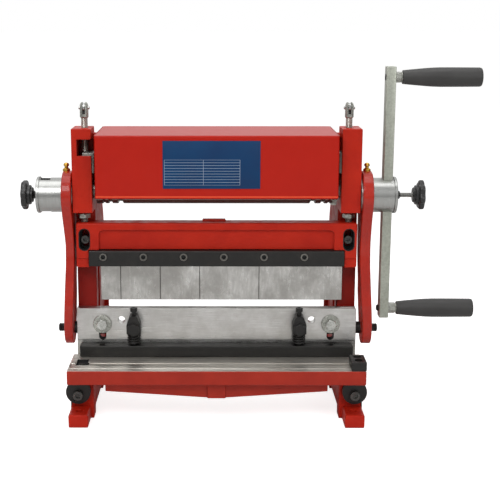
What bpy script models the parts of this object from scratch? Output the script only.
"""Bench machine for 305 mm sheet metal: guillotine shear, press brake and slip rolls.

Metres, +Z up. X runs across the machine, +Y to its back. The origin lies on the bench under the
middle of the machine's box. Sizes named for X and Y are measured from the middle between the side
frames and from the ground front faces of their columns, and one empty carries them to the origin.
"""
import math

import bmesh
import bpy
from mathutils import Matrix, Vector

# General
GAP = 0.0003                    # running and seating clearance between two pieces
OVERRUN = 0.002                 # how far a cutter runs past the face that it opens
CENTRE_SHARE = 0.5

# Facets round a full turn
BIG_ROUND_STEPS = 28
ROUND_STEPS = 16
SMALL_ROUND_STEPS = 12
CORNER_STEPS = 3
HEX_SIDES = 6

# Side frames: one casting each, with foot, neck, column and head
WORKING_WIDTH = 0.3046
COLUMN_INNER_X = WORKING_WIDTH * CENTRE_SHARE
COLUMN_WIDTH = 0.0242
COLUMN_OUTER_X = COLUMN_INNER_X + COLUMN_WIDTH
BED_OVERHANG = 0.0060
BED_HALF_WIDTH = COLUMN_OUTER_X + BED_OVERHANG
NECK_INSET = 0.0003
NECK_WIDTH = 0.0282
NECK_OUTER_X = BED_HALF_WIDTH - NECK_INSET
NECK_INNER_X = NECK_OUTER_X - NECK_WIDTH
FOOT_INSET = 0.0004
FOOT_WIDTH = 0.0244
FOOT_OUTER_X = BED_HALF_WIDTH - FOOT_INSET
FOOT_INNER_X = FOOT_OUTER_X - FOOT_WIDTH
FOOT_HEIGHT = 0.0168
FOOT_FRONT_Y = -0.0840
FOOT_BACK_Y = 0.1120
FOOT_HOLE_RADIUS = 0.0045
FOOT_HOLE_INSET = 0.0170
FOOT_ARCH_FRONT_Y = -0.0260
FOOT_ARCH_BACK_Y = 0.0650
FOOT_ARCH_HEIGHT = 0.0100
NECK_FRONT_Y = -0.0485
NECK_BACK_Y = 0.0700
COLUMN_BACK_Y = 0.1030
HEAD_TOP_Z = 0.3350
HEAD_TOP_BACK_Y = 0.0560
HEAD_SHOULDER_Z = 0.3000
REAR_BULGE_Z = 0.2350
FRAME_CORNER_RADIUS = 0.0100
REAR_BULGE_RADIUS = 0.0400
REAR_FLANGE_REACH_IN = 0.0053
REAR_FLANGE_REACH_OUT = 0.0025
REAR_FLANGE_INNER_X = COLUMN_INNER_X - REAR_FLANGE_REACH_IN
REAR_FLANGE_OUTER_X = COLUMN_OUTER_X + REAR_FLANGE_REACH_OUT
REAR_FLANGE_THICKNESS = 0.0090
REAR_FLANGE_TOP_Z = 0.1900
WINDOW_FRONT_Y = 0.0150
WINDOW_BACK_Y = 0.0360
WINDOW_BOTTOM_Z = 0.0950
WINDOW_TOP_Z = 0.2250
GUIDE_LUG_REACH = 0.0158
GUIDE_LUG_INNER_X = COLUMN_INNER_X - GUIDE_LUG_REACH
GUIDE_LUG_DEPTH = 0.0120
GUIDE_LUG_BOTTOM_Z = 0.0960
GUIDE_LUG_TOP_Z = 0.1300

# Bed with its ground table, blade, side guide and cams
BED_FRONT_Y = -0.0860
BED_TOP_Z = 0.0740
BED_THICKNESS = 0.0183
BED_EDGE_RADIUS = 0.0012
BED_GROOVE_WIDTH = 0.0010
BED_GROOVE_DEPTH = 0.0006
BED_GROOVE_START = 0.0100
BED_GROOVE_PITCH = 0.0200
BED_GROOVE_COUNT = 2
POCKET_INSET = 0.0170
POCKET_X = BED_HALF_WIDTH - POCKET_INSET
POCKET_LENGTH = 0.0170
POCKET_WIDTH = 0.0120
POCKET_DEPTH = 0.0100
POCKET_Y = -0.0565
RIB_END_INSET = 0.0170
RIB_HALF_WIDTH = NECK_INNER_X - RIB_END_INSET
RIB_THICKNESS = 0.0060
RIB_FRONT_Y = -0.0720
RIB_END_Z = 0.0435
RIB_CENTRE_Z = 0.0353
RIB_LUG_HALF_WIDTH = 0.0110
RIB_LUG_DEPTH = 0.0090
SHEAR_CLEARANCE = 0.0003
BED_BLADE_THICKNESS = 0.0080
BED_BLADE_HEIGHT = 0.0160
BLADE_INSET = 0.0125
BLADE_HALF_WIDTH = BED_HALF_WIDTH - BLADE_INSET
GUIDE_WIDTH = 0.0188
GUIDE_INSET = 0.0047
GUIDE_INNER_X = BED_HALF_WIDTH - GUIDE_INSET - GUIDE_WIDTH
GUIDE_FRONT_Y = -0.0830
GUIDE_LENGTH = 0.0320
GUIDE_HEIGHT = 0.0090
GUIDE_HOLE_RADIUS = 0.0028
GUIDE_HOLE_PITCH = 0.0110
CAM_RADIUS = 0.0154
CAM_THICKNESS = 0.0080
CAM_ECCENTRICITY = 0.0033
CAM_INSET = 0.0100
CAM_SCREW_X = BED_HALF_WIDTH - CAM_INSET
CAM_SCREW_Z = 0.0335
CAM_SCREW_HEAD_RADIUS = 0.0062
CAM_SCREW_HEAD_HEIGHT = 0.0050
CAM_SCREW_RADIUS = 0.0040
CAM_SCREW_DEPTH = 0.0140
CAM_PAD_HALF_WIDTH = 0.0080
CAM_HOLE_RADIUS = 0.0012
CAM_HOLE_DEPTH = 0.0020
CAM_HOLE_SHARE = 0.72
CAM_HOLE_ANGLE = math.radians(-65.0)

# Ram: ground plate with the brake's V-groove on top and the upper shear blade below
RAM_OVERHANG = 0.0005
RAM_HALF_WIDTH = COLUMN_OUTER_X + RAM_OVERHANG
RAM_THICKNESS = 0.0136
RAM_TOP_Z = 0.1335
RAM_STEP_Z = 0.0924
RAM_BOTTOM_Z = 0.0780
RAM_LIP_THICKNESS = 0.0052
RAM_EDGE_RADIUS = 0.0006
GROOVE_HALF_WIDTH = 0.0050
RAM_BLADE_LEFT_Z = 0.0665
RAM_BLADE_RIGHT_Z = 0.0705
RAM_SLOT_INSET = 0.0322
RAM_SLOT_X = RAM_HALF_WIDTH - RAM_SLOT_INSET
RAM_SLOT_WIDTH = 0.0092
RAM_SLOT_BOTTOM_Z = 0.0922
RAM_SLOT_TOP_Z = 0.1185
RAM_BOLT_Z = 0.1135
RAM_BOLT_RADIUS = 0.0040
RAM_BOLT_HEAD_RADIUS = 0.0075
RAM_BOLT_HEAD_HEIGHT = 0.0053
RAM_WASHER_RADIUS = 0.0120
RAM_WASHER_THICKNESS = 0.0020
RAM_BOLT_DEPTH = 0.0100
RAM_HOLE_OFFSET = 0.0242
RAM_HOLE_X = RAM_SLOT_X - RAM_HOLE_OFFSET
RAM_HOLE_Z = 0.1187
RAM_HOLE_RADIUS = 0.0046
RAM_PIN_Z = 0.1090

# Hold-down bar with its brackets, preload screws and springs
BAR_OVERHANG = 0.0025
BAR_HALF_WIDTH = BLADE_HALF_WIDTH + BAR_OVERHANG
BAR_FRONT_Y = -0.0295
BAR_TOP_Z = 0.0887
BAR_EDGE_RADIUS = 0.0010
BAR_TRAVEL = 0.0030
BAR_RELIEF_GAP = 0.0008
BAR_HOLE_RADIUS = 0.0035
BAR_HOLE_DEPTH = 0.0060
PRESS_OFFSET = 0.0164
PRESS_X = RAM_HOLE_X - PRESS_OFFSET
SPRING_OUTER_RADIUS = 0.0085
SPRING_WIRE_RADIUS = 0.0012
SPRING_TURNS = 4
SPRING_POINTS_PER_TURN = 8
SPRING_TOP_Z = 0.1045
PRESS_SCREW_RADIUS = 0.0027
PRESS_SCREW_HEAD_RADIUS = 0.0044
PRESS_SCREW_HEAD_HEIGHT = 0.0052
PRESS_SCREW_TOP_Z = 0.1371
PRESS_SCREW_TIP_Z = 0.0795
BRACKET_HALF_WIDTH = 0.0088
BRACKET_NECK_HALF_WIDTH = 0.0046
BRACKET_TOP_Z = 0.1275
BRACKET_SHOULDER_Z = 0.1165
BRACKET_FRONT_Y = -0.0325
BRACKET_CORNER_RADIUS = 0.0020
BRACKET_BOSS_RADIUS = 0.0082
BRACKET_BOSS_HEIGHT = 0.0050
BRACKET_BOSS_Z = 0.1115

# Upper beam with its clamp bar and finger dies
BEAM_END_INSET = 0.0020
BEAM_HALF_WIDTH = COLUMN_OUTER_X - BEAM_END_INSET
BEAM_DEPTH = 0.0240
BEAM_TOP_Z = 0.2453
BEAM_BOTTOM_Z = 0.1889
BEAM_EDGE_RADIUS = 0.0015
BEAM_TONGUE_DEPTH = 0.0140
BEAM_TONGUE_CLEARANCE = 0.0033
BEAM_TONGUE_HALF_WIDTH = COLUMN_INNER_X - BEAM_TONGUE_CLEARANCE
BEAM_TONGUE_TOP_Z = 0.2300
REBATE_TOP_Z = 0.2112
PANEL_INSET = 0.0063
PANEL_HALF_WIDTH = COLUMN_INNER_X - PANEL_INSET
PANEL_TOP_Z = 0.2365
PANEL_DEPTH = 0.0040
PANEL_CORNER_RADIUS = 0.0060
BEAM_LUG_X = -0.0032
BEAM_LUG_HALF_WIDTH = 0.0144
BEAM_LUG_HEIGHT = 0.0020
BEAM_STEP_Z = 0.2004
BEAM_STEP_DEPTH = 0.0015
BEAM_SLOT_OFFSET = 0.0119
BEAM_SLOT_X = COLUMN_INNER_X + BEAM_SLOT_OFFSET
BEAM_SLOT_WIDTH = 0.0143
BEAM_SLOT_BOTTOM_Z = 0.2099
BEAM_SLOT_TOP_Z = 0.2384
BEAM_SLOT_DEPTH = 0.0150
BEAM_SLOT_THROAT_WIDTH = 0.0078
BEAM_SCREW_Z = 0.2228
BEAM_SCREW_RADIUS = 0.0030
BEAM_SCREW_HEAD_RADIUS = 0.0052
BEAM_SCREW_HEAD_HEIGHT = 0.0060
BEAM_SCREW_DEPTH = 0.0100
SOCKET_SHARE = 0.5
SOCKET_DEPTH_SHARE = 0.6
CLAMP_BAR_OVERLAP = 0.0067
CLAMP_BAR_HALF_WIDTH = COLUMN_INNER_X + CLAMP_BAR_OVERLAP
CLAMP_BAR_BOTTOM_Z = 0.1910
CLAMP_BAR_FRONT_Y = -0.0280
CLAMP_BAR_EDGE_RADIUS = 0.0010
CLAMP_SCREW_INSET = 0.0113
CLAMP_SCREW_FIRST_X = CLAMP_SCREW_INSET - COLUMN_INNER_X
CLAMP_SCREW_PITCH_SHARE = 0.16415
CLAMP_SCREW_PITCH = WORKING_WIDTH * CLAMP_SCREW_PITCH_SHARE
CLAMP_SCREW_COUNT = 6
CLAMP_SCREW_Z = 0.2030
CLAMP_SCREW_HEAD_RADIUS = 0.0050
CLAMP_SCREW_RECESS = 0.0040
DIE_ROW_INSET = 0.0064
DIE_ROW_LEFT_X = DIE_ROW_INSET - COLUMN_INNER_X
DIE_UNITS = (5, 10, 10, 15, 21)
DIE_JOINT_GAP = 0.0003
GROOVE_LEAD = 0.0016
GROOVE_LEFT_X = DIE_ROW_LEFT_X - GROOVE_LEAD
DIE_THICKNESS = 0.0076
DIE_TIP_Z = 0.1437
DIE_TIP_WIDTH = 0.0012
DIE_TOP_CLEARANCE = 0.0003

# Roll housings, jack studs and the sheet cover
HOUSING_FRONT_Y = -0.0329
HOUSING_BACK_Y = 0.0080
HOUSING_TOP_Z = 0.3625
HOUSING_BOTTOM_Z = 0.2593
HOUSING_EDGE_RADIUS = 0.0012
POCKET_WALL = 0.0067
POCKET_OUTER_X = COLUMN_OUTER_X - POCKET_WALL
POCKET_TOP_Z = 0.3496
BLOCK_DEPTH = 0.0280
BLOCK_HEIGHT = 0.0250
BLOCK_REACH = 0.0028
BLOCK_INNER_X = COLUMN_INNER_X - BLOCK_REACH
HOUSING_WINDOW_BOTTOM_Z = 0.3295
COVER_CLEARANCE = 0.0053
COVER_HALF_WIDTH = COLUMN_INNER_X - COVER_CLEARANCE
COVER_LUG_REACH = 0.0090
COVER_LUG_INNER_X = COVER_HALF_WIDTH - COVER_LUG_REACH
COVER_LUG_FRONT_Y = -0.0040
COVER_LUG_HEIGHT = 0.0080
JACK_OFFSET = 0.0122
JACK_X = COLUMN_INNER_X + JACK_OFFSET
JACK_STUD_RADIUS = 0.0043
JACK_NUT_RADIUS = 0.0078
JACK_NUT_HEIGHT = 0.0051
JACK_NUT_TOP_Z = 0.2556
JACK_STUD_DEPTH = 0.0080
JACK_BORE_DEPTH = 0.0160
COVER_FRONT_Y = -0.0480
COVER_BACK_Y = 0.0707
COVER_TOP_Z = 0.3561
COVER_BOTTOM_Z = 0.2790
COVER_SHEET = 0.0012
COVER_LIP = 0.0070
COVER_BEND_RADIUS = 0.0020

# Rolls, gears and their journals
AXIS_Y = -0.0120
ECCENTRICITY = 0.0065
HUB_Z = 0.2790
ROLL_RADIUS = 0.0172
ROLL_LEFT_CLEARANCE = 0.0043
ROLL_RIGHT_CLEARANCE = 0.0108
ROLL_LEFT_X = ROLL_LEFT_CLEARANCE - COLUMN_INNER_X
ROLL_RIGHT_X = COLUMN_INNER_X - ROLL_RIGHT_CLEARANCE
ROLL_NIP = 0.0003
JOURNAL_RADIUS = 0.0090
JOURNAL_INSET = 0.0085
JOURNAL_END_X = COLUMN_OUTER_X - JOURNAL_INSET
SHAFT_RADIUS = 0.0100
SHAFT_STAND_OUT = 0.0275
SHAFT_END_X = COLUMN_OUTER_X + SHAFT_STAND_OUT
WIRE_GROOVE_INSETS = (0.0232, 0.0109, 0.0030)
WIRE_GROOVE_RADII = (0.0034, 0.0024, 0.0015)
WIRE_GROOVE_STEPS = 3
GEAR_WIDTH = 0.0060
GEAR_TEETH = 19
GEAR_PRESSURE_ANGLE = math.radians(20.0)
GEAR_BACKLASH = 0.0006
GEAR_ADDENDUM_SHARE = 1.0
GEAR_DEDENDUM_SHARE = 1.25
GEAR_FLANK_POINTS = 3
REAR_ROLL_Y = 0.0320
REAR_ROLL_Z = 0.2960
REAR_TRAVEL = 0.0080
EYE_RADIUS = 0.0140
EYE_REACH = 0.0023
EYE_INNER_X = COLUMN_INNER_X - EYE_REACH
EYE_THICKNESS = 0.0160
EYE_JOURNAL_LENGTH = 0.0155
EYE_JOURNAL_END_X = EYE_INNER_X + EYE_JOURNAL_LENGTH
EYE_SHANK_RADIUS = 0.0040
EYE_SHANK_TOP_Z = 0.3480
EYE_NUT_RADIUS = 0.0075
EYE_NUT_HEIGHT = 0.0065
EYE_SLOT_TOP_Z = 0.3220

# Adjusting screws with clevis heads on the housings
SCREW_OFFSET = 0.0097
SCREW_X = COLUMN_INNER_X + SCREW_OFFSET
SCREW_RADIUS = 0.0042
CLEVIS_BOTTOM_Z = 0.3743
CLEVIS_TOP_Z = 0.3925
CLEVIS_WIDTH = 0.0105
CLEVIS_SLOT_WIDTH = 0.0052
CLEVIS_SLOT_BOTTOM_Z = 0.3795
CLEVIS_PIN_Z = 0.3864
CLEVIS_PIN_RADIUS = 0.0028
CLEVIS_PIN_LENGTH = 0.0130

# Eccentric hubs, knobs, crank bar and grips
HUB_RADIUS = 0.0214
HUB_CLEARANCE = 0.0005
HUB_LENGTH = 0.0478
HUB_INNER_X = COLUMN_OUTER_X + HUB_CLEARANCE
HUB_OUTER_X = HUB_INNER_X + HUB_LENGTH
HUB_FLANGE_RADIUS = 0.0222
HUB_FLANGE_WIDTH = 0.0034
ARM_STAND_OFF = 0.0035
ARM_INNER_X = RAM_HALF_WIDTH + ARM_STAND_OFF
ARM_RING_WIDTH = 0.0135
CRANK_STAND_OFF = 0.0127
CRANK_INNER_X = ARM_INNER_X + ARM_RING_WIDTH + CRANK_STAND_OFF
CRANK_THICKNESS = 0.0121
CRANK_DEPTH = 0.0200
CRANK_HALF_LENGTH = 0.1580
CRANK_EDGE_RADIUS = 0.0008
GRIP_END_INSET = 0.0135
GRIP_OFFSET = CRANK_HALF_LENGTH - GRIP_END_INSET
GRIP_STAND_OFF = 0.0077
GRIP_LENGTH = 0.0985
GRIP_TAPER_SHARE = 0.3807
GRIP_TAPER = GRIP_LENGTH * GRIP_TAPER_SHARE
GRIP_START_X = CRANK_INNER_X + CRANK_THICKNESS + GRIP_STAND_OFF
GRIP_SHOULDER_X = GRIP_START_X + GRIP_TAPER
GRIP_END_X = GRIP_START_X + GRIP_LENGTH
GRIP_ROOT_RADIUS = 0.0079
GRIP_RADIUS = 0.0119
GRIP_END_RADIUS = 0.0025
GRIP_END_WALL = 0.0065
GRIP_BORE_DEPTH = GRIP_LENGTH - GRIP_END_WALL
SPINDLE_RADIUS = 0.0040
SPINDLE_COLLAR_RADIUS = 0.0066
SPINDLE_HEAD_RADIUS = 0.0040
SPINDLE_HEAD_HEIGHT = 0.0038
KNOB_ROD_RADIUS = 0.0050
KNOB_RADIUS = 0.0185
KNOB_WIDTH = 0.0088
KNOB_BOSS_RADIUS = 0.0115
KNOB_BOSS_WIDTH = 0.0082
KNOB_LOBES = 7
KNOB_STEPS = 42
KNOB_SOCKET_DEPTH = 0.0100
KNOB_LOBE_DEPTH = 0.0014
KNOB_EDGE = 0.0015
RIGHT_KNOB_OFFSET = 0.0163
LEFT_KNOB_OFFSET = 0.0032
RIGHT_KNOB_X = HUB_OUTER_X + RIGHT_KNOB_OFFSET
LEFT_KNOB_X = HUB_OUTER_X + LEFT_KNOB_OFFSET
KNOB_NUT_RADIUS = 0.0062
KNOB_NUT_WIDTH = 0.0060

# Arms between the hubs and the ram
ARM_STRAP_WIDTH = 0.0100
ARM_BOSS_WIDTH = 0.0140
ARM_RING_RADIUS = 0.0300
ARM_BOSS_RADIUS = 0.0088
ARM_STRAP_TOP_RADIUS = 0.0284
ARM_STRAP_FOOT_RADIUS = 0.0080
ARM_WAIST_Z = 0.2150
ARM_WAIST_FRONT_Y = -0.0330
ARM_WAIST_BACK_Y = 0.0120
ARM_BELLY_Z = 0.1600
ARM_BELLY_FRONT_Y = -0.0340
ARM_BELLY_BACK_Y = 0.0060
ARM_BLEND_STEPS = 4
ARM_PIN_RADIUS = 0.0050
ARM_PIN_HEAD_RADIUS = 0.0062
ARM_PIN_HEAD_HEIGHT = 0.0075
ARM_WASHER_RADIUS = 0.0075
ARM_WASHER_THICKNESS = 0.0015
ARM_COLLAR_RADIUS = 0.0090

# Worked out from the sizes above
DIE_WIDTHS = tuple(WORKING_WIDTH * units / sum(DIE_UNITS) - DIE_JOINT_GAP for units in DIE_UNITS)
WIRE_GROOVE_XS = tuple(ROLL_RIGHT_X - inset for inset in WIRE_GROOVE_INSETS)
RAM_STROKE = ECCENTRICITY + ECCENTRICITY
BED_BOTTOM_Z = BED_TOP_Z - BED_THICKNESS
NECK_TOP_Z = BED_BOTTOM_Z - GAP
RAM_BACK_Y = -GAP
RAM_FRONT_Y = RAM_BACK_Y - RAM_THICKNESS
RAM_MIDDLE_Y = (RAM_BACK_Y + RAM_FRONT_Y) * CENTRE_SHARE
BED_BACK_Y = RAM_FRONT_Y - SHEAR_CLEARANCE
BED_BLADE_FRONT_Y = BED_BACK_Y - BED_BLADE_THICKNESS
BAR_BACK_Y = RAM_FRONT_Y - GAP
BAR_BOTTOM_Z = BED_TOP_Z + GAP
PRESS_Y = RAM_FRONT_Y - GAP - SPRING_OUTER_RADIUS
SPRING_BOTTOM_Z = BAR_TOP_Z + GAP
BEAM_BACK_Y = -GAP
BEAM_FRONT_Y = BEAM_BACK_Y - BEAM_DEPTH
DIE_BACK_Y = BEAM_BACK_Y - GAP
DIE_FRONT_Y = DIE_BACK_Y - DIE_THICKNESS
CLAMP_BAR_BACK_Y = DIE_FRONT_Y - GAP
REBATE_HALF_WIDTH = CLAMP_BAR_HALF_WIDTH + GAP
DIE_TOP_Z = REBATE_TOP_Z - DIE_TOP_CLEARANCE
DRIVE_Z = HUB_Z + ECCENTRICITY
ROLL_CENTRES = ROLL_RADIUS + ROLL_RADIUS + ROLL_NIP
UPPER_ROLL_Z = DRIVE_Z + ROLL_CENTRES
GEAR_X = ROLL_RIGHT_X + GAP
CAM_Z = CAM_SCREW_Z + CAM_ECCENTRICITY
CAM_BACK_Y = NECK_FRONT_Y - GAP
CAM_FRONT_Y = CAM_BACK_Y - CAM_THICKNESS
CAM_PAD_Z = CAM_Z + CAM_RADIUS + GAP
LEFT_END_X = -(LEFT_KNOB_X + KNOB_BOSS_WIDTH + KNOB_WIDTH)
MIDDLE_X = (LEFT_END_X + GRIP_END_X) * CENTRE_SHARE
MIDDLE_Y = (BED_FRONT_Y + FOOT_BACK_Y) * CENTRE_SHARE

RED = (0.430, 0.022, 0.012)
STEEL = (0.420, 0.420, 0.410)
BRIGHT = (0.620, 0.620, 0.610)
ZINC = (0.390, 0.400, 0.360)
BLACK = (0.018, 0.018, 0.018)

FINISHES = {
    "red_paint": (RED, 0.38, 0.0),
    "ground_steel": (STEEL, 0.34, 1.0),
    "bright_steel": (BRIGHT, 0.24, 1.0),
    "zinc_plate": (ZINC, 0.42, 1.0),
    "black_oxide": (BLACK, 0.42, 0.6),
    "black_plastic": (BLACK, 0.52, 0.0),
}

# Local axes of a flat outline or a turned shape for each direction of its normal or axis
TO_X = Matrix(((0, 0, 1, 0), (1, 0, 0, 0), (0, 1, 0, 0), (0, 0, 0, 1)))
TO_Y = Matrix(((1, 0, 0, 0), (0, 0, -1, 0), (0, 1, 0, 0), (0, 0, 0, 1)))
TO_Z = Matrix.Identity(4)
SIDES = (("left", -1), ("right", 1))


def clear_scene():
    """Remove whatever the open file holds."""
    for item in list(bpy.data.objects):
        bpy.data.objects.remove(item, do_unlink=True)


def new_collection(name):
    """Add a collection to the scene and return it."""
    made = bpy.data.collections.new(name)
    bpy.context.scene.collection.children.link(made)
    return made


def paint(item, finish):
    """Give a piece its own Principled material."""
    colour, roughness, metallic = FINISHES[finish]
    made = bpy.data.materials.new(item.name)
    made.use_nodes = True
    shader = made.node_tree.nodes["Principled BSDF"]
    shader.inputs["Base Color"].default_value = (*colour, 1.0)
    shader.inputs["Roughness"].default_value = roughness
    shader.inputs["Metallic"].default_value = metallic
    item.data.materials.clear()
    item.data.materials.append(made)


def add_object(name, mesh):
    """Link a mesh into the machine's collection."""
    made = bpy.data.objects.new(name, mesh)
    MACHINE.objects.link(made)
    return made


def as_cutter(item):
    """Turn a shape into a guide that only Boolean modifiers read."""
    MACHINE.objects.unlink(item)
    CUTTERS.objects.link(item)
    item.hide_render = True
    item.display_type = "WIRE"
    return item


def box(name, low, high):
    """Cube primitive stretched between two corners, centred on its own origin."""
    made = bmesh.new()
    bmesh.ops.create_cube(made, size=1.0)
    size = Vector(high) - Vector(low)
    bmesh.ops.scale(made, vec=size, verts=made.verts)
    mesh = bpy.data.meshes.new(name)
    made.to_mesh(mesh)
    made.free()
    item = add_object(name, mesh)
    item.location = (Vector(low) + Vector(high)) * CENTRE_SHARE
    return item


def cylinder(name, centre, axis, radius, length, steps):
    """Cylinder primitive along one axis, centred on its own origin."""
    made = bmesh.new()
    bmesh.ops.create_cone(made, cap_ends=True, segments=steps, radius1=radius, radius2=radius, depth=length)
    made.transform(axis)
    mesh = bpy.data.meshes.new(name)
    made.to_mesh(mesh)
    made.free()
    mesh.shade_smooth()
    mesh.set_sharp_from_angle(angle=math.radians(40.0))
    item = add_object(name, mesh)
    item.location = centre
    return item


def rod(name, start, end, axis, radius, steps):
    """Cylinder between two points on one axis."""
    start, end = Vector(start), Vector(end)
    middle = (start + end) * CENTRE_SHARE
    return cylinder(name, middle, axis, radius, (end - start).length, steps)


def turned(name, profile, centre, axis, steps):
    """Revolve a profile of (radius, height) points, which runs from top to bottom."""
    mesh = bpy.data.meshes.new(name)
    points = [(radius, 0.0, height) for radius, height in profile]
    edges = [(index, index + 1) for index in range(len(points) - 1)]
    mesh.from_pydata(points, edges, [])
    source = bpy.data.objects.new(name, mesh)
    MACHINE.objects.link(source)
    screw = source.modifiers.new("Turn", "SCREW")
    screw.axis = "Z"
    screw.steps = steps
    screw.render_steps = steps
    screw.use_merge_vertices = True
    screw.merge_threshold = 0.00001
    screw.use_normal_calculate = True
    bpy.context.view_layer.update()
    graph = bpy.context.evaluated_depsgraph_get()
    result = bpy.data.meshes.new_from_object(source.evaluated_get(graph))
    bpy.data.objects.remove(source, do_unlink=True)
    result.transform(axis)
    tidy = bmesh.new()
    tidy.from_mesh(result)
    bmesh.ops.remove_doubles(tidy, verts=tidy.verts, dist=0.00001)
    bmesh.ops.recalc_face_normals(tidy, faces=tidy.faces)
    tidy.to_mesh(result)
    tidy.free()
    result.name = name
    result.shade_smooth()
    result.set_sharp_from_angle(angle=math.radians(40.0))
    item = add_object(name, result)
    item.location = centre
    return item


def flat(name, outline, low, high, axis):
    """Extrude a closed flat outline between two places along its normal."""
    curve = bpy.data.curves.new(name, "CURVE")
    curve.dimensions = "2D"
    curve.fill_mode = "BOTH"
    curve.extrude = (high - low) * CENTRE_SHARE
    spline = curve.splines.new("POLY")
    spline.points.add(len(outline) - 1)
    for point, (across, up) in zip(spline.points, outline):
        point.co = (across, up, 0.0, 1.0)
    spline.use_cyclic_u = True
    source = bpy.data.objects.new(name, curve)
    MACHINE.objects.link(source)
    bpy.context.view_layer.update()
    graph = bpy.context.evaluated_depsgraph_get()
    mesh = bpy.data.meshes.new_from_object(source.evaluated_get(graph))
    bpy.data.objects.remove(source, do_unlink=True)
    tidy = bmesh.new()
    tidy.from_mesh(mesh)
    bmesh.ops.remove_doubles(tidy, verts=tidy.verts, dist=0.00001)
    bmesh.ops.recalc_face_normals(tidy, faces=tidy.faces)
    bmesh.ops.transform(tidy, matrix=axis, verts=tidy.verts)
    tidy.to_mesh(mesh)
    tidy.free()
    mesh.name = name
    item = add_object(name, mesh)
    middle = (low + high) * CENTRE_SHARE
    item.location = axis.to_3x3() @ Vector((0.0, 0.0, middle))
    return item


def rounded(corners, radii, steps=CORNER_STEPS):
    """Outline through the corners, each turned into an arc of its own radius."""
    outline = []
    count = len(corners)
    for index, radius in enumerate(radii):
        corner = Vector(corners[index])
        if radius == 0:
            outline.append(tuple(corner))
            continue
        before = (Vector(corners[index - 1]) - corner).normalized()
        after = (Vector(corners[(index + 1) % count]) - corner).normalized()
        half = before.angle(after) * CENTRE_SHARE
        middle = corner + (before + after).normalized() * (radius / math.sin(half))
        start = corner + before * (radius / math.tan(half)) - middle
        sweep = start.angle_signed(corner + after * (radius / math.tan(half)) - middle)
        for step in range(steps + 1):
            turn = Matrix.Rotation(-sweep * step / steps, 2)
            outline.append(tuple(middle + turn @ start))
    return outline


def slot_outline(across, low, high, width):
    """Upright slot with round ends."""
    radius = width * CENTRE_SHARE
    points = []
    for middle, begin in ((high - radius, 0.0), (low + radius, math.pi)):
        for step in range(ROUND_STEPS // 2 + 1):
            angle = begin + math.pi * step / (ROUND_STEPS // 2)
            points.append((across + radius * math.cos(angle), middle + radius * math.sin(angle)))
    return points


def boolean(item, other, operation):
    """Exact Boolean between a piece and a guide shape."""
    made = item.modifiers.new(other.name, "BOOLEAN")
    made.operation = operation
    made.object = as_cutter(other)
    made.solver = "EXACT"
    return item


def cut(item, other):
    """Take a guide shape out of a piece."""
    return boolean(item, other, "DIFFERENCE")


def join(item, other):
    """Add a guide shape to a piece."""
    return boolean(item, other, "UNION")


def soften(item, width, segments=1):
    """Bevel the sharp edges of a piece."""
    made = item.modifiers.new("Edges", "BEVEL")
    made.width = width
    made.segments = segments
    made.limit_method = "ANGLE"
    made.angle_limit = math.radians(40.0)
    return item


def axis_empty(name, place):
    """Empty on a joint's axis, which the moving pieces hang on."""
    made = bpy.data.objects.new(name, None)
    made.location = place
    MACHINE.objects.link(made)
    return made


def hang(items, pivot):
    """Parent pieces to a joint's empty and keep them where they are."""
    bpy.context.view_layer.update()
    for item in items:
        item.parent = pivot
        item.matrix_parent_inverse = pivot.matrix_world.inverted()


def mirror_span(side, inner, outer):
    """Low and high X of a stretch on one side of the machine."""
    return (inner, outer) if side > 0 else (-outer, -inner)


def screw_profile(head_radius, head_height, radius, length):
    """Profile of a cylinder-head screw whose head rests at height zero."""
    return [(0.0, head_height), (head_radius, head_height), (head_radius, 0.0),
            (radius, 0.0), (radius, -length), (0.0, -length)]


def frame_outline():
    """Side view of column and head: flat in front of the ram and beam, stepped forward for the rolls."""
    corners = [
        (0.0, CENTRE_SHARE * NECK_TOP_Z), (0.0, HOUSING_BOTTOM_Z), (HOUSING_FRONT_Y, HOUSING_BOTTOM_Z),
        (HOUSING_FRONT_Y, HOUSING_TOP_Z), (HOUSING_BACK_Y, HOUSING_TOP_Z), (HOUSING_BACK_Y, HEAD_TOP_Z),
        (HEAD_TOP_BACK_Y, HEAD_TOP_Z), (HEAD_TOP_BACK_Y, HEAD_SHOULDER_Z), (COLUMN_BACK_Y, REAR_BULGE_Z),
        (COLUMN_BACK_Y, FOOT_HEIGHT * CENTRE_SHARE), (NECK_BACK_Y, FOOT_HEIGHT * CENTRE_SHARE),
    ]
    radii = [0, 0, HOUSING_EDGE_RADIUS, HOUSING_EDGE_RADIUS, HOUSING_EDGE_RADIUS, 0,
             FRAME_CORNER_RADIUS, FRAME_CORNER_RADIUS, REAR_BULGE_RADIUS, 0, 0]
    return rounded(corners, radii)


def through_cut(frame, name, side, outline, inner, outer):
    """Cut an outline through a stretch of a side frame's width."""
    low, high = mirror_span(side, inner, outer)
    cut(frame, flat(name, outline, low, high, TO_X))


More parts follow.
